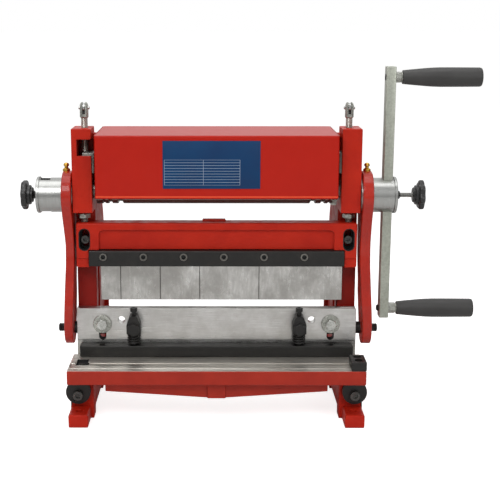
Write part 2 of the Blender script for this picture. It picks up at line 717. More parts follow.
def block_pocket(frame, word, side):
    """Pocket for the upper roll's bearing block, bores for drive shaft, screw and jack, and the cover's lug."""
    lug_top = COVER_TOP_Z - COVER_SHEET - GAP
    low, high = mirror_span(side, COVER_LUG_INNER_X, COLUMN_INNER_X + OVERRUN)
    join(frame, box(f"cover_lug_{word}", (low, COVER_LUG_FRONT_Y, lug_top - COVER_LUG_HEIGHT),
                    (high, HOUSING_BACK_Y - HOUSING_EDGE_RADIUS, lug_top)))
    half_depth = BLOCK_DEPTH * CENTRE_SHARE + GAP
    pocket_bottom = UPPER_ROLL_Z - BLOCK_HEIGHT * CENTRE_SHARE - GAP
    low, high = mirror_span(side, COLUMN_INNER_X - OVERRUN, POCKET_OUTER_X)
    cut(frame, box(f"block_pocket_{word}", (low, AXIS_Y - half_depth, pocket_bottom),
                   (high, AXIS_Y + half_depth, POCKET_TOP_Z)))
    if side < 0:
        cut(frame, box("housing_window", (low, HOUSING_FRONT_Y - OVERRUN, HOUSING_WINDOW_BOTTOM_Z),
                       (high, AXIS_Y, POCKET_TOP_Z)))
    low, high = mirror_span(side, COLUMN_INNER_X - OVERRUN, COLUMN_OUTER_X + OVERRUN)
    cut(frame, rod(f"drive_bore_{word}", (low, AXIS_Y, DRIVE_Z), (high, AXIS_Y, DRIVE_Z), TO_X,
                   SHAFT_RADIUS + GAP, ROUND_STEPS))
    cut(frame, rod(f"screw_bore_{word}", (side * SCREW_X, AXIS_Y, POCKET_TOP_Z - OVERRUN),
                   (side * SCREW_X, AXIS_Y, HOUSING_TOP_Z + OVERRUN), TO_Z, SCREW_RADIUS + GAP, SMALL_ROUND_STEPS))
    cut(frame, rod(f"jack_housing_bore_{word}", (side * JACK_X, AXIS_Y, HOUSING_BOTTOM_Z - OVERRUN),
                   (side * JACK_X, AXIS_Y, HOUSING_BOTTOM_Z + JACK_STUD_DEPTH + GAP), TO_Z,
                   JACK_STUD_RADIUS + GAP, SMALL_ROUND_STEPS))


def eye_pocket(frame, word, side):
    """Slot for the rear roll's eyebolt and the bore for its shank."""
    width = EYE_RADIUS + GAP + EYE_RADIUS + GAP
    slot = slot_outline(REAR_ROLL_Y, REAR_ROLL_Z - EYE_RADIUS - GAP, EYE_SLOT_TOP_Z, width)
    through_cut(frame, f"eye_slot_{word}", side, slot, COLUMN_INNER_X - OVERRUN, EYE_INNER_X + EYE_THICKNESS + GAP)
    eye_x = side * (EYE_INNER_X + EYE_THICKNESS * CENTRE_SHARE)
    cut(frame, rod(f"eye_bore_{word}", (eye_x, REAR_ROLL_Y, EYE_SLOT_TOP_Z - OVERRUN),
                   (eye_x, REAR_ROLL_Y, HEAD_TOP_Z + OVERRUN), TO_Z, EYE_SHANK_RADIUS + GAP, SMALL_ROUND_STEPS))


def frame_foot(frame, word, side):
    """Neck under the bed, bolted foot on two pads, and the flange along the column's back edge."""
    low, high = mirror_span(side, NECK_INNER_X, NECK_OUTER_X)
    neck = [(NECK_FRONT_Y, 0.0), (NECK_FRONT_Y, NECK_TOP_Z), (NECK_BACK_Y, NECK_TOP_Z),
            (COLUMN_BACK_Y, FOOT_HEIGHT), (COLUMN_BACK_Y, 0.0)]
    join(frame, flat(f"neck_{word}", rounded(neck, [0, 0, FRAME_CORNER_RADIUS, 0, 0]), low, high, TO_X))
    low, high = mirror_span(side, FOOT_INNER_X, FOOT_OUTER_X)
    foot = box(f"foot_{word}", (low, FOOT_FRONT_Y, 0.0), (high, FOOT_BACK_Y, FOOT_HEIGHT))
    join(frame, soften(foot, BED_EDGE_RADIUS))
    low, high = mirror_span(side, REAR_FLANGE_INNER_X, REAR_FLANGE_OUTER_X)
    join(frame, box(f"rear_flange_{word}", (low, COLUMN_BACK_Y - REAR_FLANGE_THICKNESS, FOOT_HEIGHT * CENTRE_SHARE),
                    (high, COLUMN_BACK_Y - BED_EDGE_RADIUS, REAR_FLANGE_TOP_Z)))
    arch = [(FOOT_ARCH_FRONT_Y, -OVERRUN), (FOOT_ARCH_BACK_Y, -OVERRUN),
            (FOOT_ARCH_BACK_Y, FOOT_ARCH_HEIGHT), (FOOT_ARCH_FRONT_Y, FOOT_ARCH_HEIGHT)]
    through_cut(frame, f"foot_arch_{word}", side, arch, NECK_INNER_X - OVERRUN, NECK_OUTER_X + OVERRUN)
    foot_x = side * (FOOT_INNER_X + FOOT_OUTER_X) * CENTRE_SHARE
    hole_y = FOOT_FRONT_Y + FOOT_HOLE_INSET
    cut(frame, rod(f"foot_hole_{word}", (foot_x, hole_y, -OVERRUN), (foot_x, hole_y, FOOT_HEIGHT + OVERRUN), TO_Z,
                   FOOT_HOLE_RADIUS, SMALL_ROUND_STEPS))


def side_frame(word, side):
    """One casting: bolted foot, neck under the bed, column behind the ram and head for the rolls."""
    low, high = mirror_span(side, COLUMN_INNER_X, COLUMN_OUTER_X)
    frame = flat(f"side_frame_{word}", frame_outline(), low, high, TO_X)
    frame_foot(frame, word, side)
    low, high = mirror_span(side, GUIDE_LUG_INNER_X, COLUMN_OUTER_X)
    join(frame, box(f"guide_lug_{word}", (low, 0.0, GUIDE_LUG_BOTTOM_Z), (high, GUIDE_LUG_DEPTH, GUIDE_LUG_TOP_Z)))
    width = WINDOW_BACK_Y - WINDOW_FRONT_Y
    window = slot_outline((WINDOW_FRONT_Y + WINDOW_BACK_Y) * CENTRE_SHARE, WINDOW_BOTTOM_Z, WINDOW_TOP_Z, width)
    through_cut(frame, f"window_{word}", side, window, COLUMN_INNER_X - OVERRUN, COLUMN_OUTER_X + OVERRUN)
    block_pocket(frame, word, side)
    eye_pocket(frame, word, side)
    bores = (
        ("ram_bolt", RAM_SLOT_X, RAM_BOLT_Z, RAM_BOLT_RADIUS, 0.0, RAM_BOLT_DEPTH),
        ("beam_screw", BEAM_SLOT_X, BEAM_SCREW_Z, BEAM_SCREW_RADIUS, 0.0, BEAM_SCREW_DEPTH),
        ("cam_screw", CAM_SCREW_X, CAM_SCREW_Z, CAM_SCREW_RADIUS, NECK_FRONT_Y, NECK_FRONT_Y + CAM_SCREW_DEPTH),
    )
    for what, across, up, radius, front, back in bores:
        cut(frame, rod(f"{what}_bore_{word}", (side * across, front - OVERRUN, up),
                       (side * across, back + GAP, up), TO_Y, radius + GAP, SMALL_ROUND_STEPS))
    paint(frame, "red_paint")
    return frame


def bed():
    """Ground table on a cast plate with a keel rib below and seats for the two cams."""
    table = box("bed", (-BED_HALF_WIDTH, BED_FRONT_Y, BED_BOTTOM_Z), (BED_HALF_WIDTH, BED_BACK_Y, BED_TOP_Z))
    soften(table, BED_EDGE_RADIUS)
    keel = [(-RIB_HALF_WIDTH, BED_BOTTOM_Z + OVERRUN), (-RIB_HALF_WIDTH, RIB_END_Z),
            (-RIB_LUG_HALF_WIDTH, RIB_CENTRE_Z), (RIB_LUG_HALF_WIDTH, RIB_CENTRE_Z),
            (RIB_HALF_WIDTH, RIB_END_Z), (RIB_HALF_WIDTH, BED_BOTTOM_Z + OVERRUN)]
    keel_radii = [0, BED_EDGE_RADIUS, FRAME_CORNER_RADIUS, FRAME_CORNER_RADIUS, BED_EDGE_RADIUS, 0]
    join(table, flat("keel", rounded(keel, keel_radii), -RIB_FRONT_Y - RIB_THICKNESS, -RIB_FRONT_Y, TO_Y))
    join(table, box("keel_lug", (-RIB_LUG_HALF_WIDTH, RIB_FRONT_Y - RIB_LUG_DEPTH + RIB_THICKNESS, RIB_CENTRE_Z),
                    (RIB_LUG_HALF_WIDTH, RIB_FRONT_Y + RIB_LUG_DEPTH, BED_BOTTOM_Z + OVERRUN)))
    for word, side in SIDES:
        pad_x = side * CAM_SCREW_X
        join(table, box(f"cam_pad_{word}", (pad_x - CAM_PAD_HALF_WIDTH, CAM_FRONT_Y, CAM_PAD_Z),
                        (pad_x + CAM_PAD_HALF_WIDTH, CAM_BACK_Y, BED_BOTTOM_Z + OVERRUN)))
    cut(table, box("blade_seat", (-BLADE_HALF_WIDTH - GAP, BED_BLADE_FRONT_Y - GAP, BED_TOP_Z - BED_BLADE_HEIGHT - GAP),
                   (BLADE_HALF_WIDTH + GAP, BED_BACK_Y + OVERRUN, BED_TOP_Z + OVERRUN)))
    for index in range(BED_GROOVE_COUNT):
        groove_y = BED_FRONT_Y + BED_GROOVE_START + index * BED_GROOVE_PITCH
        cut(table, box(f"table_groove_{index}", (-BED_HALF_WIDTH - OVERRUN, groove_y, BED_TOP_Z - BED_GROOVE_DEPTH),
                       (BED_HALF_WIDTH + OVERRUN, groove_y + BED_GROOVE_WIDTH, BED_TOP_Z + OVERRUN)))
    half_length = POCKET_LENGTH * CENTRE_SHARE
    half_width = POCKET_WIDTH * CENTRE_SHARE
    cut(table, soften(box("table_pocket", (-POCKET_X - half_length, POCKET_Y - half_width, BED_TOP_Z - POCKET_DEPTH),
                          (-POCKET_X + half_length, POCKET_Y + half_width, BED_TOP_Z + OVERRUN)),
                      FOOT_HOLE_RADIUS, CORNER_STEPS))
    paint(table, "red_paint")
    blade = box("bed_blade", (-BLADE_HALF_WIDTH, BED_BLADE_FRONT_Y, BED_TOP_Z - BED_BLADE_HEIGHT),
                (BLADE_HALF_WIDTH, BED_BACK_Y, BED_TOP_Z))
    paint(blade, "ground_steel")


def side_guide():
    """Squaring block at the right end of the table, with two screw holes."""
    block = box("side_guide", (GUIDE_INNER_X, GUIDE_FRONT_Y, BED_TOP_Z + GAP),
                (GUIDE_INNER_X + GUIDE_WIDTH, GUIDE_FRONT_Y + GUIDE_LENGTH, BED_TOP_Z + GAP + GUIDE_HEIGHT))
    soften(block, BED_EDGE_RADIUS)
    middle_x = GUIDE_INNER_X + GUIDE_WIDTH * CENTRE_SHARE
    middle_y = GUIDE_FRONT_Y + GUIDE_LENGTH * CENTRE_SHARE
    for word, side in (("front", -1), ("back", 1)):
        hole_y = middle_y + side * GUIDE_HOLE_PITCH * CENTRE_SHARE
        cut(block, rod(f"guide_hole_{word}", (middle_x, hole_y, BED_TOP_Z - OVERRUN),
                       (middle_x, hole_y, BED_TOP_Z + GUIDE_HEIGHT + OVERRUN),
                       TO_Z, GUIDE_HOLE_RADIUS, SMALL_ROUND_STEPS))
    paint(block, "black_oxide")


def socket(screw, name, place, direction, radius, depth):
    """Hexagon socket in the head of a screw that lies along Y or Z."""
    start = Vector(place) + Vector(direction) * OVERRUN
    end = Vector(place) - Vector(direction) * depth
    cut(screw, rod(name, start, end, TO_Y if direction[1] else TO_Z, radius, HEX_SIDES))


def cam(word, side):
    """Eccentric disc under the bed, clamped by a socket screw off its centre."""
    pivot = (side * CAM_SCREW_X, CAM_FRONT_Y, CAM_SCREW_Z)
    disc = rod(f"cam_disc_{word}", (side * CAM_SCREW_X, CAM_FRONT_Y, CAM_Z),
               (side * CAM_SCREW_X, CAM_BACK_Y, CAM_Z), TO_Y, CAM_RADIUS, BIG_ROUND_STEPS)
    cut(disc, rod(f"cam_hole_{word}", (pivot[0], CAM_FRONT_Y - OVERRUN, CAM_SCREW_Z),
                  (pivot[0], CAM_BACK_Y + OVERRUN, CAM_SCREW_Z), TO_Y, CAM_SCREW_RADIUS + GAP, ROUND_STEPS))
    dot_x = pivot[0] + side * CAM_HOLE_SHARE * CAM_RADIUS * math.cos(CAM_HOLE_ANGLE)
    dot_z = CAM_Z + CAM_HOLE_SHARE * CAM_RADIUS * math.sin(CAM_HOLE_ANGLE)
    cut(disc, rod(f"cam_dot_{word}", (dot_x, CAM_FRONT_Y - OVERRUN, dot_z),
                  (dot_x, CAM_FRONT_Y + CAM_HOLE_DEPTH, dot_z), TO_Y, CAM_HOLE_RADIUS, SMALL_ROUND_STEPS))
    hang([disc], axis_empty(f"cam_axis_{word}", pivot))
    paint(disc, "black_oxide")
    profile = screw_profile(CAM_SCREW_HEAD_RADIUS, CAM_SCREW_HEAD_HEIGHT, CAM_SCREW_RADIUS,
                            CAM_THICKNESS + GAP + GAP + CAM_SCREW_DEPTH)
    head_y = CAM_FRONT_Y - GAP
    screw = turned(f"cam_screw_{word}", profile, (pivot[0], head_y, CAM_SCREW_Z), TO_Y, ROUND_STEPS)
    face_y = head_y - CAM_SCREW_HEAD_HEIGHT
    socket(screw, f"cam_socket_{word}", (pivot[0], face_y, CAM_SCREW_Z), (0, -1, 0),
           CAM_SCREW_HEAD_RADIUS * SOCKET_SHARE, CAM_SCREW_HEAD_HEIGHT * SOCKET_DEPTH_SHARE)
    paint(screw, "black_oxide")


def ram():
    """Ground plate that slides on the columns, with the V-groove, two guide slots and two holes."""
    section = [(RAM_BACK_Y, RAM_BOTTOM_Z), (RAM_BACK_Y, RAM_TOP_Z), (RAM_FRONT_Y, RAM_TOP_Z),
               (RAM_FRONT_Y, RAM_STEP_Z), (RAM_BACK_Y - RAM_LIP_THICKNESS, RAM_STEP_Z),
               (RAM_BACK_Y - RAM_LIP_THICKNESS, RAM_BOTTOM_Z)]
    plate = flat("ram", section, -RAM_HALF_WIDTH, RAM_HALF_WIDTH, TO_X)
    groove_y = DIE_FRONT_Y + DIE_TIP_WIDTH * CENTRE_SHARE
    groove = [(groove_y - GROOVE_HALF_WIDTH - OVERRUN, RAM_TOP_Z + OVERRUN),
              (groove_y, RAM_TOP_Z - GROOVE_HALF_WIDTH),
              (groove_y + GROOVE_HALF_WIDTH + OVERRUN, RAM_TOP_Z + OVERRUN)]
    cut(plate, flat("v_groove", groove, GROOVE_LEFT_X, RAM_HALF_WIDTH + OVERRUN, TO_X))
    for word, side in SIDES:
        slot = slot_outline(side * RAM_SLOT_X, RAM_SLOT_BOTTOM_Z, RAM_SLOT_TOP_Z, RAM_SLOT_WIDTH)
        cut(plate, flat(f"ram_slot_{word}", slot, -RAM_BACK_Y - OVERRUN, -RAM_FRONT_Y + OVERRUN, TO_Y))
        cut(plate, rod(f"ram_hole_{word}", (side * RAM_HOLE_X, RAM_FRONT_Y - OVERRUN, RAM_HOLE_Z),
                       (side * RAM_HOLE_X, RAM_BACK_Y + OVERRUN, RAM_HOLE_Z), TO_Y, RAM_HOLE_RADIUS, ROUND_STEPS))
    paint(plate, "ground_steel")
    top = RAM_STEP_Z - GAP
    edge = [(-RAM_HALF_WIDTH, top), (-RAM_HALF_WIDTH, RAM_BLADE_LEFT_Z),
            (RAM_HALF_WIDTH, RAM_BLADE_RIGHT_Z), (RAM_HALF_WIDTH, top)]
    back_y = RAM_BACK_Y - RAM_LIP_THICKNESS - GAP
    blade = flat("ram_blade", edge, -back_y, -RAM_FRONT_Y, TO_Y)
    paint(blade, "ground_steel")
    return [plate, blade]


def ram_bolt(word, side):
    """Hexagon bolt and washer that keep the ram against its column."""
    place = (side * RAM_SLOT_X, RAM_FRONT_Y - GAP, RAM_BOLT_Z)
    profile = screw_profile(RAM_WASHER_RADIUS, RAM_WASHER_THICKNESS, RAM_BOLT_RADIUS,
                            RAM_THICKNESS + GAP + GAP + RAM_BOLT_DEPTH)
    bolt = turned(f"ram_bolt_{word}", profile, place, TO_Y, ROUND_STEPS)
    washer_y = place[1] - RAM_WASHER_THICKNESS
    join(bolt, rod(f"ram_bolt_head_{word}", (place[0], washer_y - RAM_BOLT_HEAD_HEIGHT, RAM_BOLT_Z),
                   (place[0], washer_y + RAM_WASHER_THICKNESS * CENTRE_SHARE, RAM_BOLT_Z),
                   TO_Y, RAM_BOLT_HEAD_RADIUS, HEX_SIDES))
    paint(bolt, "zinc_plate")


def spring(word, side):
    """Compression spring between bracket and hold-down bar: one unbroken helix of round wire."""
    radius = SPRING_OUTER_RADIUS - SPRING_WIRE_RADIUS
    low = SPRING_BOTTOM_Z + SPRING_WIRE_RADIUS
    high = SPRING_TOP_Z - SPRING_WIRE_RADIUS
    count = SPRING_TURNS * SPRING_POINTS_PER_TURN
    points = []
    for index in range(count + 1):
        angle = 2 * math.pi * index / SPRING_POINTS_PER_TURN
        height = low + (high - low) * index / count
        points.append(Vector((radius * math.cos(angle), radius * math.sin(angle), height)))
    curve = bpy.data.curves.new(f"hold_down_spring_{word}", "CURVE")
    curve.dimensions = "3D"
    curve.bevel_depth = SPRING_WIRE_RADIUS
    curve.bevel_resolution = 1
    curve.use_fill_caps = True
    spline = curve.splines.new("POLY")
    spline.points.add(count)
    for place, point in zip(spline.points, points):
        place.co = (*point, 1.0)
    source = bpy.data.objects.new(curve.name, curve)
    MACHINE.objects.link(source)
    bpy.context.view_layer.update()
    graph = bpy.context.evaluated_depsgraph_get()
    mesh = bpy.data.meshes.new_from_object(source.evaluated_get(graph))
    bpy.data.objects.remove(source, do_unlink=True)
    tidy = bmesh.new()
    tidy.from_mesh(mesh)
    bmesh.ops.remove_doubles(tidy, verts=tidy.verts, dist=0.00001)
    bmesh.ops.recalc_face_normals(tidy, faces=tidy.faces)
    tidy.to_mesh(mesh)
    tidy.free()
    mesh.shade_smooth()
    item = add_object(f"hold_down_spring_{word}", mesh)
    item.location = (side * PRESS_X, PRESS_Y, 0.0)
    paint(item, "black_oxide")
    near = SPRING_POINTS_PER_TURN // 2
    least = min((a - b).length for i, a in enumerate(points) for b in points[i + near:])
    print(f"hold_down_spring_{word}: least gap {1000 * (least - 2 * SPRING_WIRE_RADIUS):.2f} mm")
    return item


def press_bracket(word, side):
    """Black bracket on the ram's face that carries the preload screw above its spring."""
    across = side * PRESS_X
    outline = [(across - BRACKET_HALF_WIDTH, SPRING_TOP_Z + GAP), (across + BRACKET_HALF_WIDTH, SPRING_TOP_Z + GAP),
               (across + BRACKET_HALF_WIDTH, BRACKET_SHOULDER_Z), (across + BRACKET_NECK_HALF_WIDTH, BRACKET_TOP_Z),
               (across - BRACKET_NECK_HALF_WIDTH, BRACKET_TOP_Z), (across - BRACKET_HALF_WIDTH, BRACKET_SHOULDER_Z)]
    radii = [0, 0, BRACKET_CORNER_RADIUS, BRACKET_CORNER_RADIUS, BRACKET_CORNER_RADIUS, BRACKET_CORNER_RADIUS]
    bracket = flat(f"press_bracket_{word}", rounded(outline, radii), -RAM_FRONT_Y + GAP, -BRACKET_FRONT_Y, TO_Y)
    join(bracket, rod(f"bracket_boss_{word}", (across, BRACKET_FRONT_Y - BRACKET_BOSS_HEIGHT, BRACKET_BOSS_Z),
                      (across, BRACKET_FRONT_Y + BRACKET_CORNER_RADIUS, BRACKET_BOSS_Z),
                      TO_Y, BRACKET_BOSS_RADIUS, HEX_SIDES))
    cut(bracket, rod(f"bracket_bore_{word}", (across, PRESS_Y, SPRING_TOP_Z - OVERRUN),
                     (across, PRESS_Y, BRACKET_TOP_Z + OVERRUN), TO_Z, PRESS_SCREW_RADIUS + GAP, SMALL_ROUND_STEPS))
    paint(bracket, "black_oxide")
    head_z = PRESS_SCREW_TOP_Z - PRESS_SCREW_HEAD_HEIGHT
    profile = screw_profile(PRESS_SCREW_HEAD_RADIUS, PRESS_SCREW_HEAD_HEIGHT, PRESS_SCREW_RADIUS,
                            head_z - PRESS_SCREW_TIP_Z)
    screw = turned(f"press_screw_{word}", profile, (across, PRESS_Y, head_z), TO_Z, SMALL_ROUND_STEPS)
    socket(screw, f"press_socket_{word}", (across, PRESS_Y, PRESS_SCREW_TOP_Z), (0, 0, 1),
           PRESS_SCREW_HEAD_RADIUS * SOCKET_SHARE, PRESS_SCREW_HEAD_HEIGHT * SOCKET_DEPTH_SHARE)
    paint(screw, "black_oxide")
    return [bracket, screw]


def hold_down_bar():
    """Square bar that pins the sheet to the table just ahead of the blades."""
    bar = box("hold_down_bar", (-BAR_HALF_WIDTH, BAR_FRONT_Y, BAR_BOTTOM_Z), (BAR_HALF_WIDTH, BAR_BACK_Y, BAR_TOP_Z))
    soften(bar, BAR_EDGE_RADIUS)
    middle_y = (BAR_FRONT_Y + BAR_BACK_Y) * CENTRE_SHARE
    washer_z = RAM_BOLT_Z - RAM_STROKE - BAR_TRAVEL
    for word, side in SIDES:
        cut(bar, rod(f"bar_bore_{word}", (side * PRESS_X, PRESS_Y, BAR_BOTTOM_Z - OVERRUN),
                     (side * PRESS_X, PRESS_Y, BAR_TOP_Z + OVERRUN), TO_Z,
                     PRESS_SCREW_RADIUS + GAP, SMALL_ROUND_STEPS))
        cut(bar, rod(f"bar_hole_{word}", (side * RAM_SLOT_X, middle_y, BAR_TOP_Z - BAR_HOLE_DEPTH),
                     (side * RAM_SLOT_X, middle_y, BAR_TOP_Z + OVERRUN), TO_Z, BAR_HOLE_RADIUS, SMALL_ROUND_STEPS))
        cut(bar, rod(f"washer_relief_{word}",
                     (side * RAM_SLOT_X, BAR_BACK_Y - RAM_WASHER_THICKNESS - BAR_RELIEF_GAP, washer_z),
                     (side * RAM_SLOT_X, BAR_BACK_Y + OVERRUN, washer_z),
                     TO_Y, RAM_WASHER_RADIUS + BAR_RELIEF_GAP, BIG_ROUND_STEPS))
    paint(bar, "black_oxide")
    return bar


def upper_beam():
    """Casting with a sunk panel, a tongue between the columns, end slots and a rebate for the dies."""
    beam = box("upper_beam", (-BEAM_HALF_WIDTH, BEAM_FRONT_Y, BEAM_BOTTOM_Z),
               (BEAM_HALF_WIDTH, BEAM_BACK_Y, BEAM_TOP_Z))
    soften(beam, BEAM_EDGE_RADIUS)
    join(beam, box("beam_tongue", (-BEAM_TONGUE_HALF_WIDTH, BEAM_BACK_Y - OVERRUN, BEAM_BOTTOM_Z),
                   (BEAM_TONGUE_HALF_WIDTH, BEAM_TONGUE_DEPTH, BEAM_TONGUE_TOP_Z)))
    join(beam, box("beam_lug", (BEAM_LUG_X - BEAM_LUG_HALF_WIDTH, BEAM_BACK_Y - BEAM_TONGUE_DEPTH * CENTRE_SHARE,
                                BEAM_TOP_Z - OVERRUN),
                   (BEAM_LUG_X + BEAM_LUG_HALF_WIDTH, BEAM_BACK_Y, BEAM_TOP_Z + BEAM_LUG_HEIGHT)))
    cut(beam, box("beam_rebate", (-REBATE_HALF_WIDTH, BEAM_FRONT_Y - OVERRUN, BEAM_BOTTOM_Z - OVERRUN),
                  (REBATE_HALF_WIDTH, BEAM_BACK_Y, REBATE_TOP_Z)))
    corners = [(-PANEL_HALF_WIDTH, REBATE_TOP_Z - OVERRUN), (PANEL_HALF_WIDTH, REBATE_TOP_Z - OVERRUN),
               (PANEL_HALF_WIDTH, PANEL_TOP_Z), (-PANEL_HALF_WIDTH, PANEL_TOP_Z)]
    panel = rounded(corners, [0, 0, PANEL_CORNER_RADIUS, PANEL_CORNER_RADIUS])
    cut(beam, flat("beam_panel", panel, -BEAM_FRONT_Y - PANEL_DEPTH, -BEAM_FRONT_Y + OVERRUN, TO_Y))
    for word, side in SIDES:
        low, high = mirror_span(side, REBATE_HALF_WIDTH - OVERRUN, BEAM_HALF_WIDTH + OVERRUN)
        cut(beam, box(f"beam_step_{word}", (low, BEAM_FRONT_Y - OVERRUN, BEAM_BOTTOM_Z - OVERRUN),
                      (high, BEAM_FRONT_Y + BEAM_STEP_DEPTH, BEAM_STEP_Z)))
        across = side * BEAM_SLOT_X
        wide = slot_outline(across, BEAM_SLOT_BOTTOM_Z, BEAM_SLOT_TOP_Z, BEAM_SLOT_WIDTH)
        cut(beam, flat(f"beam_slot_{word}", wide, -BEAM_FRONT_Y - BEAM_SLOT_DEPTH, -BEAM_FRONT_Y + OVERRUN, TO_Y))
        inset = (BEAM_SLOT_WIDTH - BEAM_SLOT_THROAT_WIDTH) * CENTRE_SHARE
        throat = slot_outline(across, BEAM_SLOT_BOTTOM_Z + inset, BEAM_SLOT_TOP_Z - inset, BEAM_SLOT_THROAT_WIDTH)
        cut(beam, flat(f"beam_throat_{word}", throat, -BEAM_BACK_Y - OVERRUN, -BEAM_FRONT_Y, TO_Y))
        cut(beam, rod(f"jack_bore_{word}", (side * JACK_X, AXIS_Y, BEAM_TOP_Z - JACK_BORE_DEPTH * CENTRE_SHARE),
                      (side * JACK_X, AXIS_Y, BEAM_TOP_Z + OVERRUN), TO_Z, JACK_STUD_RADIUS + GAP, ROUND_STEPS))
    paint(beam, "red_paint")
    return beam


def beam_screw(word, side):
    """Socket screw in the beam's end slot that clamps the beam to its column."""
    seat_y = BEAM_FRONT_Y + BEAM_SLOT_DEPTH - GAP
    profile = screw_profile(BEAM_SCREW_HEAD_RADIUS, BEAM_SCREW_HEAD_HEIGHT, BEAM_SCREW_RADIUS,
                            BEAM_SCREW_DEPTH - seat_y)
    screw = turned(f"beam_screw_{word}", profile, (side * BEAM_SLOT_X, seat_y, BEAM_SCREW_Z), TO_Y, SMALL_ROUND_STEPS)
    socket(screw, f"beam_socket_{word}", (side * BEAM_SLOT_X, seat_y - BEAM_SCREW_HEAD_HEIGHT, BEAM_SCREW_Z),
           (0, -1, 0), BEAM_SCREW_HEAD_RADIUS * SOCKET_SHARE, BEAM_SCREW_HEAD_HEIGHT * SOCKET_DEPTH_SHARE)
    paint(screw, "black_oxide")


def clamp_bar():
    """Black bar with six counterbored socket screws that clamps the finger dies."""
    bar = box("clamp_bar", (-CLAMP_BAR_HALF_WIDTH, CLAMP_BAR_FRONT_Y, CLAMP_BAR_BOTTOM_Z),
              (CLAMP_BAR_HALF_WIDTH, CLAMP_BAR_BACK_Y, REBATE_TOP_Z - GAP))
    soften(bar, CLAMP_BAR_EDGE_RADIUS)
    for index in range(CLAMP_SCREW_COUNT):
        across = CLAMP_SCREW_FIRST_X + index * CLAMP_SCREW_PITCH
        recess_y = CLAMP_BAR_FRONT_Y + CLAMP_SCREW_RECESS
        cut(bar, rod(f"clamp_recess_{index}", (across, CLAMP_BAR_FRONT_Y - OVERRUN, CLAMP_SCREW_Z),
                     (across, recess_y, CLAMP_SCREW_Z), TO_Y, CLAMP_SCREW_HEAD_RADIUS, SMALL_ROUND_STEPS))
    paint(bar, "black_oxide")
    return bar


def finger_dies():
    """Five dies of different widths, each sharpened to a narrow tip at the front."""
    dies = []
    left = DIE_ROW_LEFT_X
    for index, width in enumerate(DIE_WIDTHS):
        bevel = DIE_THICKNESS - DIE_TIP_WIDTH
        section = [(DIE_BACK_Y, DIE_TOP_Z), (DIE_FRONT_Y, DIE_TOP_Z), (DIE_FRONT_Y, DIE_TIP_Z),
                   (DIE_FRONT_Y + DIE_TIP_WIDTH, DIE_TIP_Z), (DIE_BACK_Y, DIE_TIP_Z + bevel)]
        die = flat(f"finger_die_{index + 1}", section, left, left + width, TO_X)
        paint(die, "ground_steel")
        dies.append(die)
        left += width + DIE_JOINT_GAP
    return dies


def jack_stud(word, side):
    """Threaded stud and nut between housing and beam, which set the beam's height."""
    stud = rod(f"jack_stud_{word}", (side * JACK_X, AXIS_Y, BEAM_TOP_Z - GAP),
               (side * JACK_X, AXIS_Y, HOUSING_BOTTOM_Z + JACK_STUD_DEPTH), TO_Z, JACK_STUD_RADIUS, ROUND_STEPS)
    join(stud, rod(f"jack_nut_{word}", (side * JACK_X, AXIS_Y, JACK_NUT_TOP_Z - JACK_NUT_HEIGHT),
                   (side * JACK_X, AXIS_Y, HOUSING_BOTTOM_Z - GAP), TO_Z, JACK_NUT_RADIUS, HEX_SIDES))
    paint(stud, "zinc_plate")


def cover():
    """Folded sheet over the rolls: front, top and back with a turned-in lip along the bottom."""
    sheet = COVER_SHEET
    outer = [(COVER_FRONT_Y, COVER_BOTTOM_Z), (COVER_FRONT_Y, COVER_TOP_Z), (COVER_BACK_Y, COVER_TOP_Z),
             (COVER_BACK_Y, COVER_BOTTOM_Z), (COVER_BACK_Y - sheet, COVER_BOTTOM_Z),
             (COVER_BACK_Y - sheet, COVER_TOP_Z - sheet), (COVER_FRONT_Y + sheet, COVER_TOP_Z - sheet),
             (COVER_FRONT_Y + sheet, COVER_BOTTOM_Z + sheet), (COVER_FRONT_Y + COVER_LIP, COVER_BOTTOM_Z + sheet),
             (COVER_FRONT_Y + COVER_LIP, COVER_BOTTOM_Z)]
    inner_bend = COVER_BEND_RADIUS - sheet
    radii = [COVER_BEND_RADIUS, COVER_BEND_RADIUS, COVER_BEND_RADIUS, 0, 0,
             inner_bend, inner_bend, inner_bend, 0, 0]
    made = flat("roll_cover", rounded(outer, radii), -COVER_HALF_WIDTH, COVER_HALF_WIDTH, TO_X)
    paint(made, "red_paint")


def roll_profile(radius, grooved, left_end, right_end, left_radius, right_radius):
    """Profile of a roll with its journals, from the right end down to the left end."""
    profile = [(0.0, right_end), (right_radius, right_end), (right_radius, ROLL_RIGHT_X), (radius, ROLL_RIGHT_X)]
    if grooved:
        places = [(x, r) for x, r in zip(reversed(WIRE_GROOVE_XS), reversed(WIRE_GROOVE_RADII))]
        places += [(-x, r) for x, r in zip(WIRE_GROOVE_XS, WIRE_GROOVE_RADII)]
        for middle, groove in places:
            for step in range(WIRE_GROOVE_STEPS + 1):
                angle = math.pi * step / WIRE_GROOVE_STEPS
                profile.append((radius - groove * math.sin(angle), middle + groove * math.cos(angle)))
    profile += [(radius, ROLL_LEFT_X), (left_radius, ROLL_LEFT_X), (left_radius, left_end), (0.0, left_end)]
    return profile


